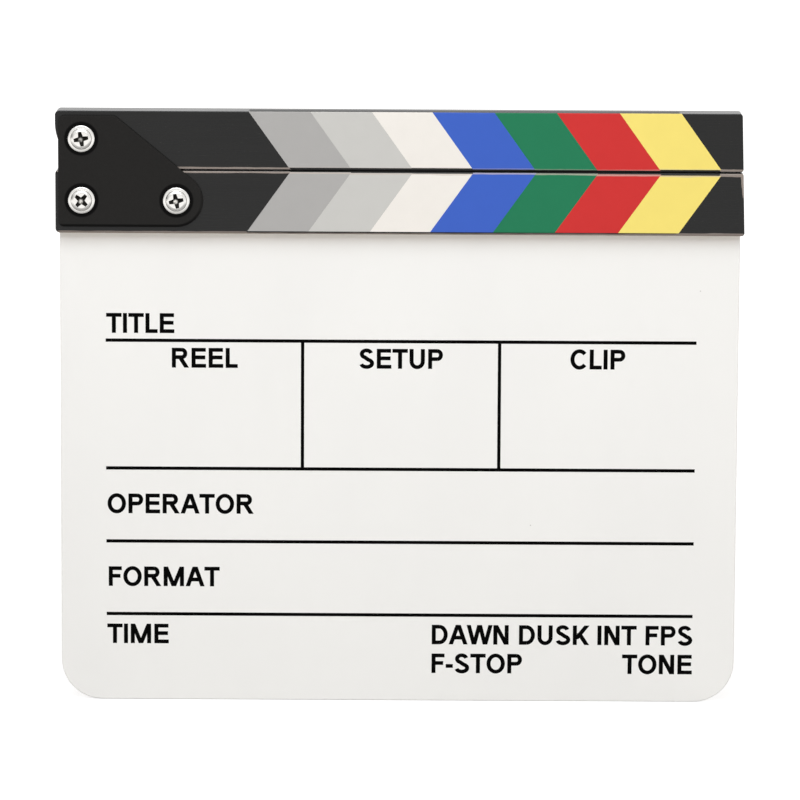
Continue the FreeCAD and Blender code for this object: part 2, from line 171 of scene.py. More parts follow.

# Painted shade on the plates, in the colour of grime: a ring about each screw head that stands for its
# contact shade, at what distances from a screw it ends; and a painted shadow along the foot and the round
# end: how far from the outline it begins and is full, and its share at the height of the screw and at the
# foot
PLATE_PAINTED_SHADE = (0.0012, 0.0011, 0.001)
HEAD_SHADE_RING = (7.0 * MM, 7.84 * MM)
RIM_START = 1.35 * MM
RIM_FULL = 0.81 * MM
RIM_SHARES = (0.3, 0.9)

# Printed ink: its thickness, how near its corners are joined, and the kind of triangles asked for
INK_THICKNESS = 0.03 * MM
INK_WELD = 0.0001 * MM
INSIDE_OUTLINES = 1

# Grid and labels on the slate, measured on the board's front
GRID_LEFT = -128.9 * MM
GRID_RIGHT = 130.3 * MM
GRID_HEIGHTS = [160.96 * MM, 104.04 * MM, 71.33 * MM, 38.64 * MM]
GRID_UPRIGHTS = [-42.47 * MM, 43.97 * MM]
GRID_LINE = 1.47 * MM
CAPITAL = 8.8 * MM
LABELS = [
    # Words, place along X, baseline, and which part of the words is at that place
    ("TITLE", GRID_LEFT, 164.2 * MM, "left"),
    ("REEL", -85.4 * MM, 148.9 * MM, "middle"),
    ("SETUP", 0.8 * MM, 148.9 * MM, "middle"),
    ("CLIP", 87.1 * MM, 149.05 * MM, "middle"),
    ("OPERATOR", GRID_LEFT, 83.8 * MM, "left"),
    ("FORMAT", GRID_LEFT, 51.1 * MM, "left"),
    ("TIME", GRID_LEFT, 25.3 * MM, "left"),
    ("DAWN DUSK INT FPS", GRID_RIGHT, 25.5 * MM, "right"),
    ("F-STOP", 13.95 * MM, 12.5 * MM, "left"),
    ("TONE", GRID_RIGHT, 12.5 * MM, "right"),
]

# Strokes of the capitals, in capital heights: upright ones, level ones, and the set of the letters: how
# wide they are, how much closer than that they stand, and the space between words
STEM = 0.21
BEAM = 0.193
LETTER_FIT = 0.97
LETTER_CLOSER = 0.05
WORD_SPACE = 0.42
ARC_STEPS = 28


class Rub(NamedTuple):
    """How an edge of a stick is rubbed: the width that stays painted next to the face, and how far from the
    edge the bare wood reaches at its left or lower end and at its other end; then the tone of that wood,
    and the share of the reach that is left along the stripes.
    """

    kept: float
    first: float
    last: float
    tone: float
    along_stripes: float = 0.0


RUBS = {
    "upper": {
        "bottom": Rub(0.35 * MM, 1.15 * MM, 1.25 * MM, tone=0.75),
    },
    "lower": {
        "top": Rub(0.35 * MM, 1.1 * MM, 1.7 * MM, tone=0.8),
        "bottom": Rub(0.0, 1.05 * MM, 1.3 * MM, tone=0.65, along_stripes=0.7),
        "right": Rub(0.0, 0.35 * MM, 1.3 * MM, tone=0.9),
    },
}


class NodeTree:
    """Short calls for building a tree of shader nodes."""

    def __init__(self, tree):
        self.tree = tree
        self.tree.nodes.clear()

    def add(self, kind, **settings):
        node = self.tree.nodes.new(kind)
        for name, value in settings.items():
            setattr(node, name, value)
        return node

    def feed(self, socket, value):
        """Links another node's output, or sets a plain value."""
        if isinstance(value, bpy.types.NodeSocket):
            self.tree.links.new(value, socket)
        elif socket.type == "RGBA":
            socket.default_value = (*value, 1.0)
        else:
            socket.default_value = value

    def math(self, operation, *values):
        node = self.add("ShaderNodeMath", operation=operation)
        for socket, value in zip(node.inputs, values):
            self.feed(socket, value)
        return node.outputs[0]

    def hypotenuse(self, first, second):
        squares = [self.math("MULTIPLY", side, side) for side in (first, second)]
        return self.math("SQRT", self.math("ADD", *squares))

    def span(self, value, low, high, to_low=0.0, to_high=1.0):
        """A smooth step of value from low to high."""
        node = self.add("ShaderNodeMapRange", interpolation_type="SMOOTHSTEP")
        for socket, part in zip(node.inputs, (value, low, high, to_low, to_high)):
            self.feed(socket, part)
        return node.outputs[0]

    def vary(self, noise, low, high):
        """A value that follows a noise, mostly from low to high."""
        return self.span(noise, *NOISE_RANGE, low, high)

    def mix(self, factor, first, second):
        node = self.add("ShaderNodeMix", data_type="RGBA")
        colours = [socket for socket in node.inputs if socket.type == "RGBA"]
        self.feed(node.inputs["Factor"], factor)
        self.feed(colours[0], first)
        self.feed(colours[1], second)
        return next(socket for socket in node.outputs if socket.type == "RGBA")

    def background(self, colour, strength):
        node = self.add("ShaderNodeBackground")
        self.feed(node.inputs["Color"], colour)
        self.feed(node.inputs["Strength"], strength)
        return node.outputs[0]

    def seen_rays(self):
        """1 for the rays that the eye follows: straight, by reflection or through glass."""
        rays = self.add("ShaderNodeLightPath").outputs
        bent = self.math("MAXIMUM", rays["Is Glossy Ray"], rays["Is Transmission Ray"])
        return self.math("MAXIMUM", rays["Is Camera Ray"], bent)

    def mirrored_rays(self):
        return self.add("ShaderNodeLightPath").outputs["Is Glossy Ray"]


class Shader(NodeTree):
    """A material built on a Principled shader."""

    def __init__(self, name):
        self.material = bpy.data.materials.new(name)
        self.material.use_nodes = True
        super().__init__(self.material.node_tree)
        self.surface = self.add("ShaderNodeBsdfPrincipled")
        self.feed(self.add("ShaderNodeOutputMaterial").inputs["Surface"], self.surface.outputs[0])
        self.place = self.add("ShaderNodeTexCoord").outputs["Object"]

    def set(self, **values):
        """Sets the shader's sockets, named with underscores for spaces."""
        for name, value in values.items():
            self.feed(self.surface.inputs[name.replace("_", " ")], value)

    def axes(self):
        node = self.add("ShaderNodeSeparateXYZ")
        self.feed(node.inputs[0], self.place)
        return node.outputs

    def stretched(self, stretch):
        node = self.add("ShaderNodeVectorMath", operation="MULTIPLY")
        self.feed(node.inputs[0], self.place)
        self.feed(node.inputs[1], stretch)
        return node.outputs[0]

    def noise(self, scale, detail=3.0, stretch=None):
        """Noise from 0 to 1 with scale features to the metre, drawn out along axes of a small stretch."""
        node = self.add("ShaderNodeTexNoise")
        self.feed(node.inputs["Vector"], self.stretched(stretch) if stretch else self.place)
        self.feed(node.inputs["Scale"], scale)
        self.feed(node.inputs["Detail"], detail)
        return node.outputs["Fac"]

    def distance_from(self, first_axis, second_axis, first, second):
        """Distance from a point, across two axes."""
        return self.hypotenuse(
            self.math("SUBTRACT", first_axis, first),
            self.math("SUBTRACT", second_axis, second),
        )

    def bump(self, height, depth):
        """Raises the surface by up to depth where height is 1."""
        node = self.add("ShaderNodeBump")
        self.feed(node.inputs["Height"], height)
        self.feed(node.inputs["Distance"], depth)
        self.feed(self.surface.inputs["Normal"], node.outputs[0])


def middle_of(node):
    low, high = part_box(node)
    return (low + high) / 2


def stripe_edges(node):
    """The X of a stripe's left and right edge where Z is 0, and their shared slope, from its corners."""
    low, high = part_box(node)
    corners = [vertex.co for vertex in NODES[node].data.vertices]
    foot = [corner.x for corner in corners if corner.z < (low.z + high.z) / 2]
    head = [corner.x for corner in corners if corner.z > (low.z + high.z) / 2]
    slope = (min(head) - min(foot)) / (high.z - low.z)
    return min(foot) - slope * low.z, max(foot) - slope * low.z, slope


def acrylic_material():
    """White dry-erase sheet, with faint smears of old marker and two dots of it."""
    shader = Shader("white_acrylic")
    smear = shader.span(shader.noise(18.0, detail=4.0, stretch=(1.0, 1.0, 0.45)), 0.35, 0.75)
    clean = (0.865, 0.858, 0.835)
    smeared = (0.845, 0.838, 0.817)
    marker = (0.36, 0.34, 0.31)
    colour = shader.mix(smear, clean, smeared)
    x, _, z = shader.axes()
    for speck in SPECKS:
        away = shader.distance_from(x, z, *speck)
        spot = shader.span(away, 0.5 * SPECK_RADIUS, SPECK_RADIUS, SPECK_DARKNESS, 0.0)
        colour = shader.mix(spot, colour, marker)
    shader.set(
        Base_Color=colour,
        Roughness=shader.span(smear, 0.0, 1.0, 0.28, 0.38),
        IOR=1.49,
    )
    shader.bump(shader.noise(90.0, detail=2.0), 0.02 * MM)
    return shader.material


def edge_band(shader, face_distance, side_distance, kept, reach):
    """1 along a stick's edge: past the part next to the face that stays painted, as far in as reach."""
    noise = shader.noise(300.0, detail=4.0, stretch=(0.2, 1.0, 1.0))
    ragged = shader.vary(noise, 1.0 - RUB_RAGGED, 1.0 + RUB_RAGGED)
    edge = shader.math("ADD", face_distance, side_distance)
    inside = shader.math("SUBTRACT", shader.math("MULTIPLY", ragged, reach), edge)
    near = shader.span(inside, *RUB_BLUR)
    if kept:
        past = shader.span(face_distance, (1.0 - KEPT_BLUR) * kept, (1.0 + KEPT_BLUR) * kept)
        near = shader.math("MULTIPLY", near, past)
    return near


def polish(shader, side, depth):
    """1 where a stick's paint is polished: left and right of its stripes, and towards its back."""
    first, _, slope = stripe_edges(f"{side}_stripe_grey")
    _, last, _ = stripe_edges(f"{side}_stripe_yellow")
    x, _, z = shader.axes()
    slanted = shader.math("SUBTRACT", x, shader.math("MULTIPLY", z, slope))
    left_end = shader.span(slanted, first, first + POLISH_MARGIN, 1.0, 0.0)
    right_end = shader.span(slanted, last - POLISH_MARGIN, last)
    back = shader.span(depth, *POLISH_DEPTHS)
    return shader.math("MAXIMUM", back, shader.math("MAXIMUM", left_end, right_end))


def stick_edges(shader, side):
    """For each face of a stick with rubbed edges: the distance from it, and how far the rub has grown."""
    low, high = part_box(f"{side}_stick")
    x, _, z = shader.axes()
    rise = shader.math("SUBTRACT", z, low.z)
    free_end = shader.math("SUBTRACT", high.x, shader.math("MULTIPLY", rise, FREE_END_SLOPE))
    along = shader.math("POWER", shader.span(x, low.x, high.x), RUB_GROWTH)
    upward = shader.math("POWER", shader.span(z, low.z, high.z), RUB_GROWTH)
    return {
        "top": (shader.math("SUBTRACT", high.z, z), along),
        "bottom": (rise, along),
        "right": (shader.math("SUBTRACT", free_end, x), upward),
    }


def paint_material(side):
    """Black paint on a wooden stick, polished except about its stripes and rubbed bare on some edges."""
    shader = Shader(f"{side}_paint")
    low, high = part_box(f"{side}_stick")
    _, y, _ = shader.axes()
    depth = shader.math("SUBTRACT", y, low.y)
    side_distance = shader.math("MINIMUM", depth, shader.math("SUBTRACT", high.y, y))
    polished = polish(shader, side, depth)
    edges = stick_edges(shader, side)
    grain = shader.noise(700.0, detail=5.0, stretch=(0.03, 1.0, 1.0))
    cover = shader.mix(grain, (0.004, 0.004, 0.004), (0.011, 0.011, 0.0105))
    for edge, rub in RUBS[side].items():
        distance, growth = edges[edge]
        reach = shader.math("MULTIPLY_ADD", growth, rub.last - rub.first, rub.first)
        reach = shader.math("MULTIPLY", reach, shader.span(polished, 0.0, 1.0, rub.along_stripes, 1.0))
        band = edge_band(shader, distance, side_distance, rub.kept, reach)
        tones = [tuple(rub.tone * part for part in colour) for colour in RUBBED_WOOD]
        cover = shader.mix(band, cover, shader.mix(grain, *tones))
    if side == "lower":
        rise, _ = edges["bottom"]
        bare = shader.span(rise, *RAW_FOOT, 1.0, 0.0)
        cover = shader.mix(bare, cover, shader.mix(grain, *RAW_WOOD))
    satin = shader.span(grain, 0.2, 0.8, 0.38, 0.50)
    shader.set(
        Base_Color=cover,
        Roughness=shader.math("SUBTRACT", satin, shader.math("MULTIPLY", polished, POLISH_GAIN)),
        Specular_IOR_Level=0.27,
    )
    shader.bump(grain, 0.01 * MM)
    return shader.material


def vinyl_material(name, colour, slit_height, margin, chafe_and_highlight):
    """Satin self-adhesive vinyl, a little uneven in tone, and lighter where it ends near the slit: partly
    chafe, partly a painted highlight.
    """
    shader = Shader(name)
    tone = shader.noise(120.0)
    deep = tuple(0.95 * part for part in colour)
    cover = shader.mix(tone, deep, colour)
    from_slit = shader.math("ABSOLUTE", shader.math("SUBTRACT", slit_height, shader.axes()[2]))
    # Chafe together with a painted highlight: a lighter band where the film ends near the slit
    band = edge_band(shader, from_slit, 0.0, 0.0, margin + CHAFE_AND_HIGHLIGHT_WIDTH)
    shader.set(
        Base_Color=shader.mix(shader.math("MULTIPLY", band, chafe_and_highlight), cover, CHAFE_AND_HIGHLIGHT_VINYL),
        Roughness=shader.vary(shader.noise(900.0, detail=2.0), 0.36, 0.46),
        Specular_IOR_Level=0.25,
    )
    shader.bump(shader.noise(1600.0, detail=2.0), 0.004 * MM)
    return shader.material


def head_painted_shade(shader, x, z):
    """1 on the plate in a ring about each screw head, where its contact shade is painted."""
    painted_shade = 0.0
    for node in SCREWS:
        middle = middle_of(node)
        away = shader.distance_from(x, z, middle.x, middle.z)
        painted_shade = shader.math("MAXIMUM", painted_shade, shader.span(away, *HEAD_SHADE_RING, 1.0, 0.0))
    return painted_shade


def rim_painted_shadow(shader, x, z):
    """Up to 1 along the plate's foot and along its round end, whose middle is the right screw: a painted
    shadow, strongest at the foot.
    """
    middle = middle_of("right_plate_screw")
    radius = middle.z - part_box("front_hinge_plate")[0].z
    below = shader.math("SUBTRACT", middle.z, z)
    beside = shader.math("MAXIMUM", shader.math("SUBTRACT", x, middle.x), 0.0)
    away = shader.hypotenuse(beside, shader.math("MAXIMUM", below, 0.0))
    rim = shader.span(away, radius - RIM_START, radius - RIM_FULL)
    return shader.math("MULTIPLY", rim, shader.span(below, 0.0, radius, *RIM_SHARES))


def plate_material():
    """Matt black powder coat with a fine orange-peel skin, with painted shade about the heads and a painted
    shadow along the foot and round end.
    """
    shader = Shader("black_plate")
    skin = shader.noise(1500.0)
    coat = shader.mix(skin, (0.0142, 0.0135, 0.0128), (0.0205, 0.0197, 0.0188))
    x, _, z = shader.axes()
    # Painted shade: a near-black ring about each screw head, and a painted shadow along the foot and round
    # end
    painted_shade = shader.math("MAXIMUM", head_painted_shade(shader, x, z), rim_painted_shadow(shader, x, z))
    shader.set(
        Base_Color=shader.mix(painted_shade, coat, PLATE_PAINTED_SHADE),
        Roughness=shader.vary(skin, 0.48, 0.60),
        Specular_IOR_Level=0.06,
    )
    shader.bump(skin, 0.012 * MM)
    return shader.material


def nickel_material():
    """Bright nickel plate, finely scuffed."""
    shader = Shader("nickel")
    scuff = shader.noise(2400.0, detail=4.0)
    shader.set(
        Base_Color=shader.mix(scuff, (0.70, 0.685, 0.655), (0.82, 0.805, 0.78)),
        Metallic=1.0,
        Roughness=shader.vary(scuff, 0.16, 0.26),
    )
    shader.bump(scuff, 0.004 * MM)
    return shader.material


def recess_material(name, turn, highlight):
    """The driver recess of a screw with its turn, painted near black as shade, with a painted highlight of
    bright metal on its lower left.
    """
    shader = Shader(name)
    x, y, _ = shader.axes()
    spot = Matrix.Rotation(-math.radians(turn), 2) @ RECESS_SPOT
    # Painted highlight: bright metal where light from above catches the lower left of the recess; the rest
    # is painted near black as shade
    painted_highlight = shader.span(shader.distance_from(x, y, *spot), *RECESS_HIGHLIGHT, 1.0, 0.0)
    painted_shade = shader.noise(1500.0)
    dark = shader.mix(painted_shade, (0.004, 0.0035, 0.003), (0.02, 0.018, 0.015))
    shader.set(
        Base_Color=shader.mix(painted_highlight, dark, (highlight, 0.97 * highlight, 0.92 * highlight)),
        Metallic=shader.span(painted_highlight, 0.0, 1.0, 0.0, 0.8),
        Roughness=shader.vary(painted_shade, 0.45, 0.65),
        Specular_IOR_Level=0.2,
    )
    return shader.material


def plain_metal_material(name, dark, light, roughness):
    shader = Shader(name)
    scuff = shader.noise(1800.0)
    shader.set(
        Base_Color=shader.mix(scuff, dark, light),
        Metallic=1.0,
        Roughness=shader.vary(scuff, roughness, roughness + 0.12),
    )
    return shader.material


def nylon_material():
    shader = Shader("nylon")
    cloud = shader.noise(400.0, detail=2.0)
    shader.set(
        Base_Color=shader.mix(cloud, (0.70, 0.68, 0.63), (0.78, 0.765, 0.72)),
        Roughness=shader.vary(cloud, 0.40, 0.50),
        Subsurface_Weight=0.2,
        Subsurface_Scale=0.5 * MM,
    )
    return shader.material


def ink_material():
    """Screen-printed black, a touch thinner in places."""
    shader = Shader("black_ink")
    cover = shader.noise(700.0)
    shader.set(
        Base_Color=shader.mix(cover, (0.0006, 0.0006, 0.0006), (0.002, 0.002, 0.002)),
        Roughness=shader.vary(cover, 0.40, 0.55),
        Specular_IOR_Level=0.02,
    )
    return shader.material


def dress(node, material):
    """Gives a node its material in place of the plain one that it came with."""
    for slot in NODES[node].material_slots:
        slot.material = material


def dress_nodes(nickel):
    """Finishes the CAD nodes that stay as they are."""
    plate = plate_material()
    nylon = nylon_material()
    magnet = plain_metal_material("magnet", (0.50, 0.50, 0.49), (0.60, 0.60, 0.59), 0.25)
    black_screw = plain_metal_material("black_screw", (0.02, 0.02, 0.02), (0.05, 0.05, 0.05), 0.40)
    dress("slate_board", acrylic_material())
    for side in STICK_BODIES:
        dress(f"{side}_stick", paint_material(side))
        dress(f"{side}_magnet", magnet)
    for side in ("front", "rear"):
        dress(f"{side}_hinge_plate", plate)
        dress(f"{side}_pivot_washer", nylon)
    for name in ("pivot", "left_plate", "right_plate"):
        dress(f"{name}_post", nickel)
    for number in (1, 2, 3):
        dress(f"board_screw_{number}", black_screw)


def new_object(name, data, place=UNMOVED):
    thing = bpy.data.objects.new(name, data)
    thing.matrix_world = place
    bpy.context.scene.collection.objects.link(thing)
    return thing


def new_piece(mesh, material, body, place=UNMOVED):
    """A mesh as a piece of the object, named after it, that rides on a body."""
    piece = new_object(mesh.name, mesh, place)
    mesh.materials.append(material)
    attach(piece, body)
    return piece


def smooth(mesh):
    mesh.shade_smooth()
    mesh.set_sharp_from_angle(angle=SHARP_ANGLE)


def mesh_from(name, points, faces):
    mesh = bpy.data.meshes.new(name)
    mesh.from_pydata(points, [], faces)
    smooth(mesh)
    return mesh


def film_end(edge, margin, lift):
    """Points from the flat of a stick to a film's end at a margin from its foot or head, lift outside it.

    Each is how far behind the front face and how far in from the foot or head it is.
    """
    if margin >= edge:
        return [(-lift, margin)]
    last = math.asin((edge - margin) / edge)
    turns = [last * step / FILM_STEPS for step in range(FILM_STEPS + 1)]
    radius = edge + lift
    return [(edge - radius * math.cos(turn), edge - radius * math.sin(turn)) for turn in turns]


def film_profile(side, slit_margin, lift):
    """Points (y, z) up a film that follows the front of a stick, from its lower end to its upper."""
    low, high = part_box(f"{side}_stick")
    margins = (slit_margin, FILM_HEAD) if side == "upper" else (FILM_FOOT, slit_margin)
    foot, head = [film_end(EDGE_ROUNDS[side], margin, lift) for margin in margins]
    points = [(low.y + back, low.z + rise) for back, rise in reversed(foot)]
    return points + [(low.y + back, high.z - drop) for back, drop in head]


def make_film(side, colour, shifts, slit_margin, material, body):
    """One strip of film between two slanted cuts, each shifted a little from the edge of its stripe."""
    node = f"{side}_stripe_{colour}"
    left, right, slope = stripe_edges(node)
    left += shifts[0] * MM - FILM_SPREAD
    right += shifts[1] * MM + FILM_SPREAD
    points = []
    for lift in (FILM_THICKNESS, 0.0):
        for y, z in film_profile(side, slit_margin, lift):
            points.append((left + slope * z, y, z))
            points.append((right + slope * z, y, z))
    count = len(points) // 2
    faces = []
    # Outer skin, inner skin, left cut and right cut, row by row, and then the lower and the upper end
    for row in range(0, count - 2, 2):
        faces.append((row, row + 1, row + 3, row + 2))
        faces.append((count + row + 2, count + row + 3, count + row + 1, count + row))
        faces.append((row + 2, count + row + 2, count + row, row))
        faces.append((row + 1, count + row + 1, count + row + 3, row + 3))
    faces.append((0, count, count + 1, 1))
    faces.append((count - 1, 2 * count - 1, 2 * count - 2, count - 2))
    mesh = mesh_from(f"{side}_film_{colour}", points, faces)
    piece = new_piece(mesh, material, body)
    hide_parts(node)


def make_films():
    """Both rows of films."""
    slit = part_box("lower_stick")[1].z
    for side, body in STICK_BODIES.items():
        for number, (colour, value) in enumerate(FILM_COLOURS.items()):
            margin = FILM_SLITS[side][number] * MM
            material = vinyl_material(f"{side}_vinyl_{colour}", value, slit, margin, CHAFE_AND_HIGHLIGHT_STRENGTHS[side])
            make_film(side, colour, FILM_SHIFTS[side][number : number + 2], margin, material, body)


def arc(across, upward, wide, tall, start, stop):
    """Points on a stretch of an ellipse, from one angle in degrees to another."""
    points = []
    for step in range(ARC_STEPS + 1):
        angle = math.radians(start + (stop - start) * step / ARC_STEPS)
        points.append((across + wide * math.cos(angle), upward + tall * math.sin(angle)))
    return points


def head_profile(radius, height, shank):
    """Half the outline of a screw as (radius, height) from its tip to the top of its cap."""
    outline = [(0.0, -shank), (THREAD_RADIUS, -shank), (THREAD_RADIUS, 0.0), (radius, 0.0)]
    rim_middle = HEAD_RIM - HEAD_RIM_DROP - HEAD_RIM_ROUND
    outline += arc(radius - HEAD_RIM_ROUND, rim_middle, HEAD_RIM_ROUND, HEAD_RIM_ROUND, 0, 75)
    outline += [(CAP_RADIUS, HEAD_RIM)]
    outline += arc(CAP_RADIUS - CAP_SHOULDER, height - CAP_RISE, CAP_SHOULDER, CAP_RISE, 0, 90)
    return outline + [(0.0, height)]


def lathe(name, outline):
    """A closed mesh turned about Z, from an outline that starts and ends on the axis."""
    turns = [2 * math.pi * number / LATHE_SEGMENTS for number in range(LATHE_SEGMENTS)]
    points = [(0.0, 0.0, outline[0][1]), (0.0, 0.0, outline[-1][1])]
    rings = outline[1:-1]
    for radius, height in rings:
        points += [(radius * math.cos(turn), radius * math.sin(turn), height) for turn in turns]
    faces = []
    last = 2 + LATHE_SEGMENTS * (len(rings) - 1)
    for here in range(LATHE_SEGMENTS):
        there = (here + 1) % LATHE_SEGMENTS
        faces.append((0, 2 + there, 2 + here))
        faces.append((1, last + here, last + there))
        for ring in range(len(rings) - 1):
            low = 2 + LATHE_SEGMENTS * ring
            high = low + LATHE_SEGMENTS
            faces.append((low + here, low + there, high + there, high + here))
    return mesh_from(name, points, faces)


def recess_mesh(top):
    """A cross that narrows as it goes down, starting a little above the cap."""
    points = []
    for rise in (-RECESS_DEPTH, RECESS_ABOVE):
        share = 1.0 + (1.0 - RECESS_TAPER) * rise / RECESS_DEPTH
        far = share * RECESS_SPAN / 2
        tip = share * RECESS_TIP / 2
        web = share * RECESS_WEB / 2
        corners = [(far, -tip), (far, tip), (web, web)]
        for _ in range(4):
            points += [(x, y, top + rise) for x, y in corners]
            corners = [(-y, x) for x, y in corners]
    count = len(points) // 2
    faces = [tuple(reversed(range(count))), tuple(range(count, 2 * count))]
    for here in range(count):
        there = (here + 1) % count
        faces.append((here, there, count + there, count + here))
    return mesh_from("recess", points, faces)


def carve(piece, cutter):
    """Cuts one object out of another for good, and lends the cut faces the cutter's material."""
    modifier = piece.modifiers.new("cut", "BOOLEAN")
    modifier.operation = "DIFFERENCE"
    modifier.solver = "EXACT"
    modifier.material_mode = "TRANSFER"
    modifier.object = cutter
    whole = piece.evaluated_get(bpy.context.evaluated_depsgraph_get())
    mesh = bpy.data.meshes.new_from_object(whole)
    piece.modifiers.clear()
    piece.data = mesh
    mesh.name = piece.name
    smooth(mesh)
    bpy.data.objects.remove(cutter)


def make_screws(nickel):
    """The three plate screws, each with a tapered cross recess turned as its own."""
    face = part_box("front_hinge_plate")[0].y
    for node, (turn, highlight) in SCREWS.items():
        low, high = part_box(node)
        height = face - low.y
        centre = middle_of(node)
        centre.y = face
        place = Matrix.Translation(centre) @ Matrix.Rotation(math.radians(90), 4, "X")
        place = place @ Matrix.Rotation(math.radians(turn), 4, "Z")
        mesh = lathe(node + "_head", head_profile((high.x - low.x) / 2, height, high.y - face))
        piece = new_piece(mesh, nickel, "slate", place)
        cutter = new_object("cutter", recess_mesh(height), place)
        cutter.data.materials.append(recess_material(f"{node}_recess", turn, highlight))
        carve(piece, cutter)
        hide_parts(node)


def block(left, right, low, high):
    return [(left, low), (right, low), (right, high), (left, high)]


def slant(foot, head, low=0.0, high=1.0):
    """A sloping stroke with level ends, given by the middles of its ends."""
    half = 0.5 * STEM * math.hypot(head - foot, high - low) / (high - low)
    return [(foot - half, low), (foot + half, low), (head + half, high), (head - half, high)]


def ribbon(line):
    """Quads along a bent stroke, as wide as a stem where it stands and as a beam where it lies."""
    sides = []
    for number, (x, y) in enumerate(line):
        before = line[max(number - 1, 0)]
        after = line[min(number + 1, len(line) - 1)]
        run = math.hypot(after[0] - before[0], after[1] - before[1])
        out_x = 0.5 * STEM * (after[1] - before[1]) / run
        out_y = -0.5 * BEAM * (after[0] - before[0]) / run
        sides.append(((x - out_x, y - out_y), (x + out_x, y + out_y)))
    return [[here[0], here[1], there[1], there[0]] for here, there in zip(sides, sides[1:])]


def bow(across, upward, wide, tall, start, stop):
    """A round stroke whose outer edge has the half-sizes given."""
    return ribbon(arc(across, upward, wide - STEM / 2, tall - BEAM / 2, start, stop))


def bowl(left, right, low, high, depth):
    """The closed right side of a D, P or R, round over its last depth."""
    straight = right - depth
    level = [block(left, straight, high - BEAM, high), block(left, straight, low, low + BEAM)]
    return level + bow(straight, (low + high) / 2, depth, (high - low) / 2, -90, 90)


def post(left, low=0.0):
    return block(left, left + STEM, low, 1.0)


def bar(left, right, low):
    return block(left, right, low, low + BEAM)


def letter_shapes():
    """Each capital's width, and the polygons of its strokes."""
    top = 1.0 - BEAM
    e_bars = [bar(0.112, 0.862, 0.0), bar(0.112, 0.82, 0.425), bar(0.112, 0.845, top)]
    s_line = arc(0.462, 0.737, 0.345 - STEM / 2, 0.278 - BEAM / 2, 14, 250)
    s_line += arc(0.470, 0.267, 0.385 - STEM / 2, 0.282 - BEAM / 2, 70, -166)
    u_posts = [post(0.11, 0.38), post(0.898 - STEM, 0.38)]
    return {
        "A": (1.02, [slant(0.14, 0.50), slant(0.90, 0.54), bar(0.25, 0.79, 0.25)]),
        "C": (1.008, bow(0.535, 0.5, 0.465, 0.515, 40, 320)),
        "D": (1.008, [post(0.109)] + bowl(0.109, 0.937, 0.0, 1.0, 0.44)),
        "E": (0.932, [post(0.112)] + e_bars),
        "F": (0.853, [post(0.115), bar(0.115, 0.72, 0.42), bar(0.115, 0.79, top)]),
        "I": (0.388, [post(0.194 - STEM / 2)]),
        "K": (0.97, [post(0.102), slant(0.26, 0.83, 0.3), slant(0.83, 0.42, 0.0, 0.6)]),
        "L": (0.777, [post(0.104), bar(0.104, 0.727, 0.0)]),
        "M": (1.265, [post(0.105), post(1.16 - STEM), slant(0.63, 0.22), slant(0.635, 1.045)]),
        "N": (1.008, [post(0.106), post(0.902 - STEM), slant(0.78, 0.228)]),
        "O": (1.087, bow(0.543, 0.5, 0.478, 0.515, -15, 360)),
        "P": (0.932, [post(0.109)] + bowl(0.109, 0.869, 0.4, 1.0, 0.29)),
        "R": (1.06, [post(0.11), slant(0.87, 0.55, 0.0, 0.5)] + bowl(0.11, 0.905, 0.43, 1.0, 0.28)),
        "S": (0.932, ribbon(s_line)),
        "T": (0.853, [post(0.4265 - STEM / 2), bar(0.03, 0.823, top)]),
        "U": (1.008, u_posts + bow(0.504, 0.38, 0.394, 0.395, 180, 360)),
        "W": (1.318, [slant(0.365, 0.095), slant(0.385, 0.645), slant(0.935, 0.675), slant(0.955, 1.225)]),
        "-": (0.465, [bar(0.05, 0.42, 0.27)]),
    }


def ink_mesh(name, polygons):
    """A thin closed layer on the board's front, over the union of flat polygons in X and Z."""
    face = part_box("slate_board")[0].y
    corners = []
    outlines = []
    for polygon in polygons:
        outlines.append(list(range(len(corners), len(corners) + len(polygon))))
        corners += [Vector(corner) for corner in polygon]
    flat, _, triangles, _, _, sources = delaunay_2d_cdt(
        corners, [], outlines, INSIDE_OUTLINES, INK_WELD
    )
    triangles = [triangle for triangle, source in zip(triangles, sources) if source]
    edges = {(triangle[i - 1], triangle[i]) for triangle in triangles for i in range(3)}
    points = [(x, face - INK_THICKNESS, z) for x, z in flat]
    points += [(x, face, z) for x, z in flat]
    count = len(flat)
    faces = [tuple(triangle) for triangle in triangles]
    faces += [tuple(count + corner for corner in reversed(triangle)) for triangle in triangles]
    for here, there in edges:
        if (there, here) not in edges:
            faces.append((there, here, count + here, count + there))
    return mesh_from(name, points, faces)


def make_grid(ink):
    """The ruled lines of the slate."""
    half = GRID_LINE / 2
    bars = [block(GRID_LEFT, GRID_RIGHT, z - half, z + half) for z in GRID_HEIGHTS]
    bars += [block(x - half, x + half, GRID_HEIGHTS[1], GRID_HEIGHTS[0]) for x in GRID_UPRIGHTS]
    new_piece(ink_mesh("ink_grid", bars), ink, "slate")


def make_labels(ink):
    """The words in the slate's fields."""
    shapes = letter_shapes()
    wide = CAPITAL * LETTER_FIT
    for words, place, baseline, anchor in LABELS:
        polygons = []
        pen = 0.0
        for letter in words:
            width, strokes = shapes.get(letter, (WORD_SPACE, []))
            polygons += [[(pen + x, y) for x, y in stroke] for stroke in strokes]
            pen += width - LETTER_CLOSER
        left = min(x for polygon in polygons for x, _ in polygon)
        right = max(x for polygon in polygons for x, _ in polygon)
        zero = {"left": 0.0, "middle": (left + right) / 2, "right": right}[anchor]
        polygons = [
            [(place + wide * (x - zero), baseline + CAPITAL * y) for x, y in polygon]
            for polygon in polygons
        ]
        name = "ink_" + words.lower().replace(" ", "_").replace("-", "_")
        new_piece(ink_mesh(name, polygons), ink, "slate")


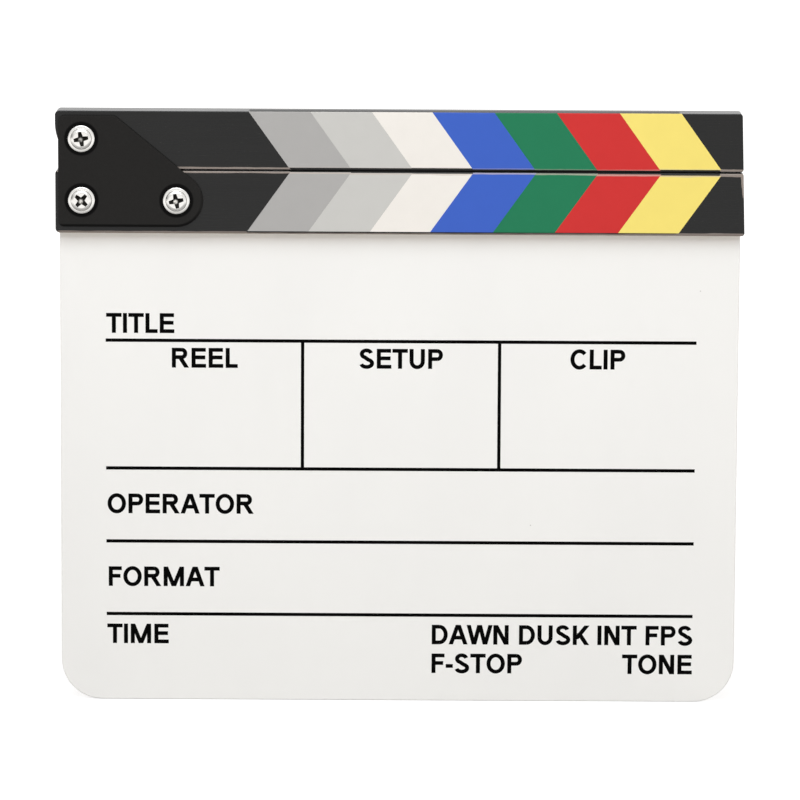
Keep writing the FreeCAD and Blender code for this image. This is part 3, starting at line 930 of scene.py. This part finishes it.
def make_camera():
    right = Vector((1.0, 0.0, 0.0))
    back = Vector((0.0, -math.cos(CAMERA_RISE), math.sin(CAMERA_RISE)))
    up = back.cross(right)
    across = math.cos(CAMERA_ROLL) * right + math.sin(CAMERA_ROLL) * up
    upward = -math.sin(CAMERA_ROLL) * right + math.cos(CAMERA_ROLL) * up
    data = bpy.data.cameras.new("camera")
    data.sensor_width = SENSOR
    data.lens = FOCAL_PIXELS / IMAGE_PIXELS * SENSOR
    turn = Matrix((across, upward, back)).transposed().to_4x4()
    place = Matrix.Translation(CAMERA_TARGET + CAMERA_DISTANCE * back) @ turn
    bpy.context.scene.camera = new_object("camera", data, place)


def make_light(name, place, size, power, colour):
    """A square soft box that faces the middle of the object."""
    data = bpy.data.lights.new(name, "AREA")
    data.size = size
    data.energy = power
    data.color = colour
    facing = (Vector(place) - CAMERA_TARGET).to_track_quat("Z", "Y")
    new_object(name, data, Matrix.Translation(place) @ facing.to_matrix().to_4x4())


def white_strength(nodes):
    """Strength of the room's white: 1, but less at the lower left for reflections, its dark side."""
    side = nodes.add("ShaderNodeVectorMath", operation="DOT_PRODUCT")
    nodes.feed(side.inputs[0], nodes.add("ShaderNodeTexCoord").outputs["Generated"])
    nodes.feed(side.inputs[1], BRIGHT_WAY)
    loss = nodes.span(side.outputs["Value"], *DARK_LIMITS, 0.0, 1.0 - DARK_SIDE)
    return nodes.math("SUBTRACT", 1.0, nodes.math("MULTIPLY", nodes.mirrored_rays(), loss))


def make_world():
    """White to the eye and mostly in reflections, and a softer warm fill for the rest."""
    world = bpy.data.worlds.new("studio")
    bpy.context.scene.world = world
    world.use_nodes = True
    nodes = NodeTree(world.node_tree)
    fill = nodes.background(FILL_COLOUR, FILL_STRENGTH)
    white = nodes.background(WHITE, white_strength(nodes))
    choice = nodes.add("ShaderNodeMixShader")
    for socket, value in zip(choice.inputs, (nodes.seen_rays(), fill, white)):
        nodes.feed(socket, value)
    nodes.feed(nodes.add("ShaderNodeOutputWorld").inputs["Surface"], choice.outputs[0])


def make_floor():
    """A wide floor that keeps the object's shadow and goes to plain white away from it."""
    corners = [(x, y, 0.0) for x, y in block(-FLOOR_HALF, FLOOR_HALF, -FLOOR_HALF, FLOOR_HALF)]
    floor = new_object("floor", mesh_from("floor", corners, [(0, 1, 2, 3)]))
    shader = Shader("floor")
    seen = shader.seen_rays()
    away = shader.add("ShaderNodeVectorMath", operation="LENGTH")
    shader.feed(away.inputs[0], shader.place)
    near = shader.span(shader.mirrored_rays(), 0.0, 1.0, FLOOR_GLOW, FLOOR_MIRRORED_GLOW)
    glow = shader.span(away.outputs["Value"], *FLOOR_FADE, near, 1.0)
    shader.set(
        Base_Color=shader.mix(seen, *FLOOR_GREYS),
        Roughness=1.0,
        Specular_IOR_Level=0.0,
        Emission_Color=WHITE,
        Emission_Strength=shader.math("MULTIPLY", seen, glow),
    )
    floor.data.materials.append(shader.material)


bpy.context.scene.view_settings.view_transform = "Standard"
bright_nickel = nickel_material()
dress_nodes(bright_nickel)
make_films()
make_screws(bright_nickel)
black_ink = ink_material()
make_grid(black_ink)
make_labels(black_ink)
make_camera()
make_world()
for light in LIGHTS:
    make_light(*light)
make_floor()
